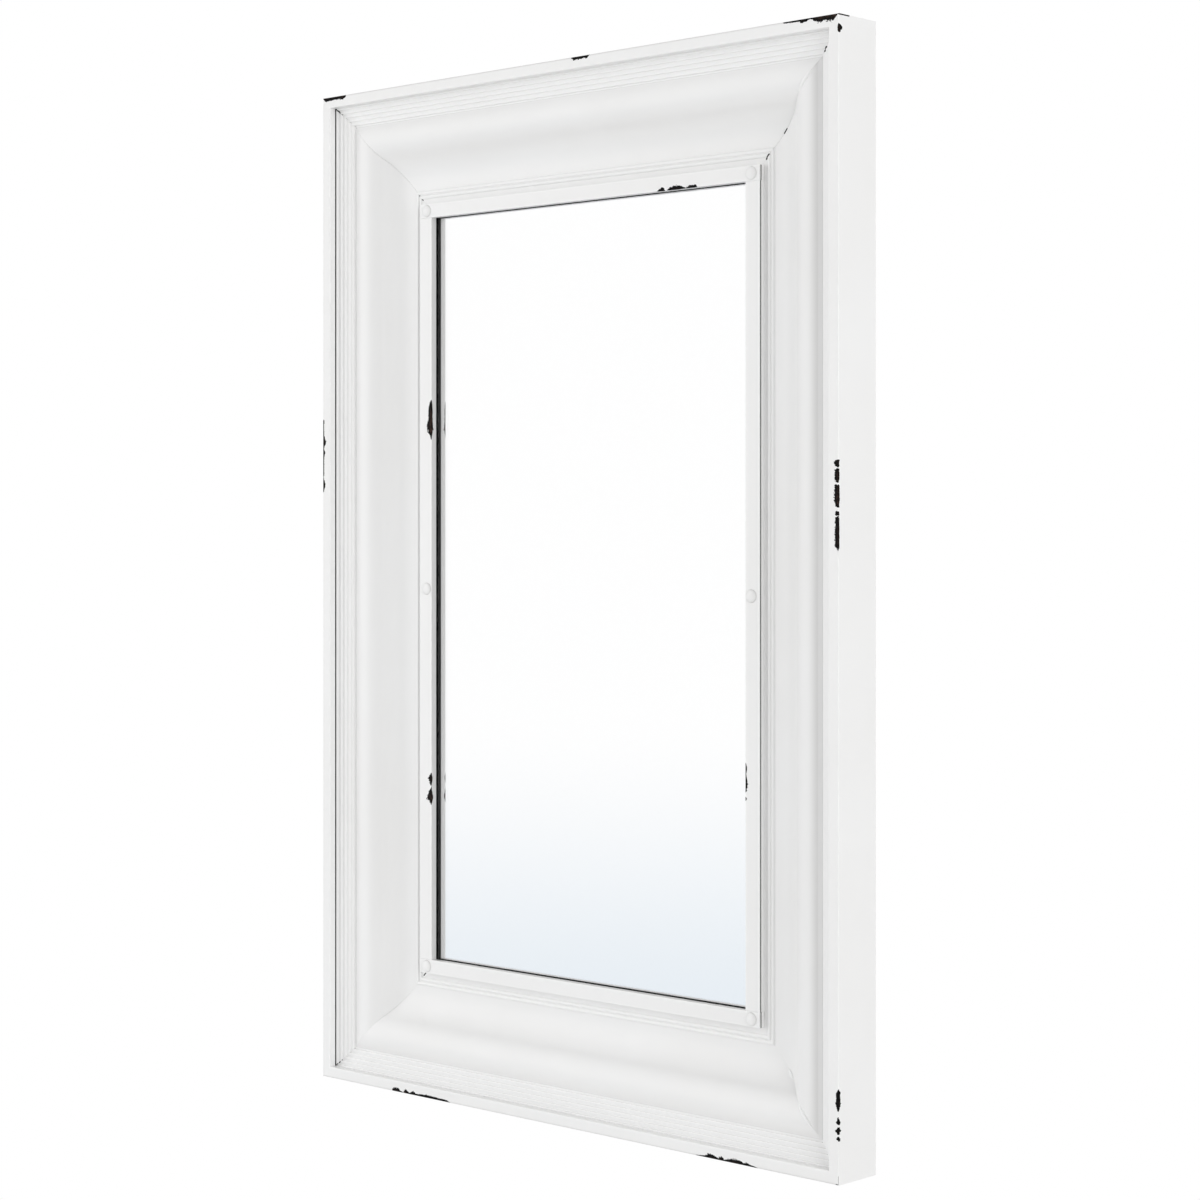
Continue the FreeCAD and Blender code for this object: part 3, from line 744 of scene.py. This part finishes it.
def silverCoat():
    material, tree, shader = newMaterial("silver_coat")
    cloud = noise(tree, objectPoint(tree), glass["cloudScale"])
    color = mixedColor(tree, cloud, glass["silverBright"], glass["silverDull"])
    tree.links.new(color, shader.inputs["Base Color"])
    shader.inputs["Metallic"].default_value = 1.0
    shader.inputs["Roughness"].default_value = 0.0
    return material


def makeMirror():
    low, high = (corner.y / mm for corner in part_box("mirror_glass"))
    arris, inset = glass["arris"], glass["silverInset"]
    depths = [low, low + arris, high - arris, high]
    plate = makePlate("mirror_plate", [arris, 0, 0, arris], depths, clearGlass())
    plate.visible_diffuse = False  # clear glass takes no light from the frame and shades nothing
    plate.visible_shadow = False
    front = high - glass["silverInside"]
    makePlate("mirror_silver", [inset, inset], [front, front + glass["silver"]], silverCoat())


makeMirror()
print("mirror made")


# Finishes of the pieces behind the frame

backFinish = dict(
    undercoat=dict(base=(0.013, 0.013, 0.014, 1), dust=(0.05, 0.05, 0.05, 1), dustScale=90.0, dustFrom=0.45,
                   dustTo=0.8, roughness=0.55, dustRoughness=0.75, grainScale=600.0, grainBump=0.00003),
    zinc=dict(base=(0.60, 0.61, 0.62, 1), dull=(0.42, 0.43, 0.44, 1), dullScale=120.0, dullShare=0.8,
              spangleScale=260.0, smoothest=0.28, roughest=0.42, grainScale=900.0, grainBump=0.000012),
    board=dict(dark=(0.13, 0.075, 0.042, 1), light=(0.24, 0.15, 0.085, 1), fibreScale=420.0, patchScale=18.0,
               lightFrom=0.7, lightTo=1.3, weaveScale=150.0, weaveDistortion=0.4, roughness=0.75,
               bump=0.00012),
    rubber=dict(base=(0.02, 0.02, 0.02, 1), worn=(0.045, 0.045, 0.045, 1), wornScale=200.0, wornFrom=0.4,
                wornTo=0.75, roughness=0.8, grainScale=1200.0, grainBump=0.00002))


def blackUndercoat():
    look = backFinish["undercoat"]
    material, tree, shader = newMaterial("black_undercoat")
    point = objectPoint(tree)
    dust = noise(tree, point, look["dustScale"], 4.0)
    dust = ranged(tree, dust, look["dustFrom"], look["dustTo"], 0.0, 1.0)
    tree.links.new(mixedColor(tree, dust, look["base"], look["dust"]), shader.inputs["Base Color"])
    rough = ranged(tree, dust, 0.0, 1.0, look["roughness"], look["dustRoughness"])
    tree.links.new(rough, shader.inputs["Roughness"])
    addBump(tree, shader, noise(tree, point, look["grainScale"]), look["grainBump"])
    return material


def zincPlate():
    look = backFinish["zinc"]
    material, tree, shader = newMaterial("zinc_plate")
    point = objectPoint(tree)
    spangle = addNode(tree, "TexVoronoi", {"Vector": point, "Scale": look["spangleScale"]}).outputs["Color"]
    dull = math2(tree, "MULTIPLY", noise(tree, point, look["dullScale"], 4.0), look["dullShare"])
    tree.links.new(mixedColor(tree, dull, look["base"], look["dull"]), shader.inputs["Base Color"])
    shader.inputs["Metallic"].default_value = 1.0
    rough = ranged(tree, spangle, 0.0, 1.0, look["smoothest"], look["roughest"])
    tree.links.new(rough, shader.inputs["Roughness"])
    addBump(tree, shader, noise(tree, point, look["grainScale"], 3.0), look["grainBump"])
    return material


def hardboard():
    look = backFinish["board"]
    material, tree, shader = newMaterial("hardboard")
    point = objectPoint(tree)
    fibre = noise(tree, point, look["fibreScale"], 5.0)
    patch = noise(tree, point, look["patchScale"], 3.0)
    light = ranged(tree, math2(tree, "ADD", fibre, patch), look["lightFrom"], look["lightTo"], 0.0, 1.0)
    tree.links.new(mixedColor(tree, light, look["dark"], look["light"]), shader.inputs["Base Color"])
    shader.inputs["Roughness"].default_value = look["roughness"]
    wave = {"Vector": point, "Scale": look["weaveScale"], "Distortion": look["weaveDistortion"]}
    threads = [addNode(tree, "TexWave", wave, bands_direction=way).outputs["Fac"] for way in ("X", "Z")]
    addBump(tree, shader, math2(tree, "ADD", math2(tree, "MULTIPLY", *threads), fibre), look["bump"])
    return material


def rubber():
    look = backFinish["rubber"]
    material, tree, shader = newMaterial("rubber")
    point = objectPoint(tree)
    worn = noise(tree, point, look["wornScale"], 4.0)
    worn = ranged(tree, worn, look["wornFrom"], look["wornTo"], 0.0, 1.0)
    tree.links.new(mixedColor(tree, worn, look["base"], look["worn"]), shader.inputs["Base Color"])
    shader.inputs["Roughness"].default_value = look["roughness"]
    addBump(tree, shader, noise(tree, point, look["grainScale"]), look["grainBump"])
    return material


def dressNodes(material, *names):
    for name in names:
        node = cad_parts[name]
        node.data.materials.clear()
        node.data.materials.append(material)


hangerParts = [kind + hand for kind in ("hanger_plate_", "hanger_ring_") for hand in ("left", "right")]
dressNodes(blackUndercoat(), *["rebate_" + side for side in sides], "corner_plates")
dressNodes(zincPlate(), *hangerParts, "hanger_rivets")
dressNodes(hardboard(), "backing_board")
dressNodes(rubber(), "wall_bumpers")
print("back pieces dressed")


# Stage: a pale floor below, soft light and the camera

stage = dict(
    floorZ=-1.4, floorHalf=2.2, floorColor=(0.8, 0.8, 0.8, 1), floorRoughness=0.9,
    cameraPlace=(1.5957, -1.7040, 0.05665), yawDegrees=43.143, lens=80.3, sensor=36.0, shiftY=-0.0611,
    worldStrength=0.5, skyBlue=(0.80, 0.855, 0.905, 1), fadeTop=-0.068, fadeBottom=-0.19,
    sheenWays=((-0.803, -0.583, 0.122), (-0.4, 0.9, 0.17)), sheenFull=0.88, sheenNone=0.62, sheenDim=0.15)

softboxes = {
    "left": dict(place=(-3.0, -2.6, 0.6), size=2.4, power=61),
    "right": dict(place=(3.4, -0.9, 0.6), size=2.4, power=70),
    "above": dict(place=(0, -2.0, 3.0), size=2.4, power=5),
    "below": dict(place=(0, -2.2, -1.2), size=2.4, power=8),
    "back": dict(place=(-1.7, 3.0, 1.2), size=2.4, power=60),
}


def makeFloor():
    half, height = stage["floorHalf"], stage["floorZ"]
    corners = [(-half, -half, height), (half, -half, height), (half, half, height), (-half, half, height)]
    mesh = bpy.data.meshes.new("floor")
    mesh.from_pydata(corners, [], [(0, 1, 2, 3)])
    floor = bpy.data.objects.new("floor", mesh)
    bpy.context.scene.collection.objects.link(floor)
    material, _, shader = newMaterial("pale_floor")
    shader.inputs["Base Color"].default_value = stage["floorColor"]
    shader.inputs["Roughness"].default_value = stage["floorRoughness"]
    mesh.materials.append(material)


def makeWorld():
    # the diffuse light is even and the camera sees white; metal, glass and glossy paint see a white wall
    # on one side and another behind, which fade to pale blue low down, and a dim room round them
    world = bpy.data.worlds.new("studio")
    bpy.context.scene.world = world
    world.use_nodes = True
    tree = world.node_tree
    tree.nodes.clear()
    white, dim = (1, 1, 1, 1), stage["sheenDim"]
    rays = addNode(tree, "LightPath").outputs
    way = addNode(tree, "TexCoord").outputs["Generated"]
    height = addNode(tree, "SeparateXYZ", {0: way}).outputs["Z"]
    fade = ranged(tree, height, stage["fadeBottom"], stage["fadeTop"], 1.0, 0.0, True)
    seen = mixedColor(tree, fade, white, stage["skyBlue"])
    near = math2(tree, "MAXIMUM", *[dot(tree, way, sheen) for sheen in stage["sheenWays"]])
    wall = ranged(tree, near, stage["sheenNone"], stage["sheenFull"], 0.0, 1.0, True)
    seen = mixedColor(tree, wall, (dim, dim, dim, 1), seen)
    seen = mixedColor(tree, rays["Is Camera Ray"], seen, white)
    shows = math2(tree, "MAXIMUM", rays["Is Camera Ray"], rays["Is Glossy Ray"])
    shows = math2(tree, "MAXIMUM", shows, rays["Is Transmission Ray"])
    even = addNode(tree, "Background", {"Color": white, "Strength": stage["worldStrength"]})
    backdrop = addNode(tree, "Background", {"Color": seen, "Strength": 1.0})
    mix = addNode(tree, "MixShader", {0: shows, 1: even.outputs[0], 2: backdrop.outputs[0]})
    addNode(tree, "OutputWorld", {"Surface": mix.outputs[0]})


def makeLights():
    for name, box in softboxes.items():
        light = bpy.data.lights.new(name, "AREA")
        light.size = box["size"]
        light.energy = box["power"]
        lamp = bpy.data.objects.new(name, light)
        bpy.context.scene.collection.objects.link(lamp)
        lamp.location = box["place"]
        lamp.rotation_euler = (-lamp.location).to_track_quat("-Z", "Y").to_euler()
        lamp.visible_glossy = False
        lamp.visible_transmission = False


def makeCamera():
    data = bpy.data.cameras.new("camera")
    data.lens = stage["lens"]
    data.sensor_width = stage["sensor"]
    data.shift_y = stage["shiftY"]
    camera = bpy.data.objects.new("camera", data)
    bpy.context.scene.collection.objects.link(camera)
    camera.location = stage["cameraPlace"]
    camera.rotation_euler = (math.radians(90), 0, math.radians(stage["yawDegrees"]))
    bpy.context.scene.camera = camera


makeFloor()
makeWorld()
makeLights()
makeCamera()
bpy.context.scene.view_settings.view_transform = "Standard"
print("stage set")
